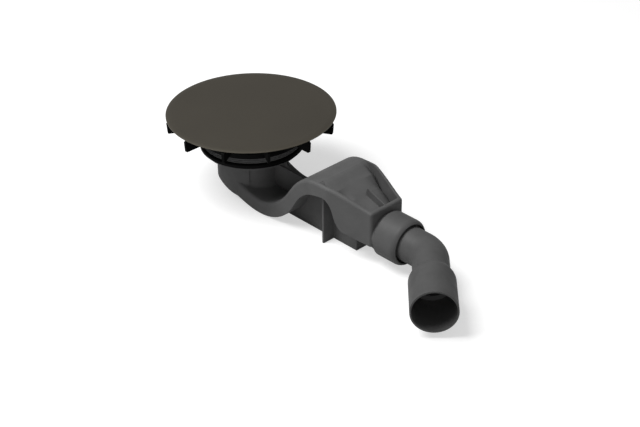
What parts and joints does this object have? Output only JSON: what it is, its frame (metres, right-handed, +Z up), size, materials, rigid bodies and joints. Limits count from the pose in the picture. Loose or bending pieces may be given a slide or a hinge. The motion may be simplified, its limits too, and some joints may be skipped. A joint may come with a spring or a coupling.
{
  "type": "shower trap",
  "caption": "Low-profile shower trap with a large round cover on a finned carrier, clamped tray seals, a wave-shaped siphon body and an angled outlet elbow.",
  "frame": {"origin": "on the vertical axis of the waste, in the plane where the tray's underside meets the lower seal", "axes": "+X runs from the waste towards the outlet, +Z is up towards the cover, and the outlet elbow turns towards -Y"},
  "size_m": [0.47, 0.1966, 0.0977],
  "materials": {
    "cover_coating": "satin bronze-brown coating",
    "black_plastic": "matt moulded",
    "dark_plastic": "matt moulded",
    "grey_plastic": "fine moulded texture",
    "black_rubber": "matt"
  },
  "bodies": {
    "root": {"cover_plate": "cover_coating", "cover_carrier": "black_plastic", "hair_strainer": "dark_plastic", "waste_flange": "black_plastic", "upper_seal": "black_rubber", "clamp_ring": "grey_plastic", "lower_seal": "black_rubber", "trap_body": "grey_plastic", "outlet_seal": "black_rubber", "slip_ring": "dark_plastic", "union_nut": "grey_plastic", "outlet_elbow": "grey_plastic"}
  },
  "joints": []
}
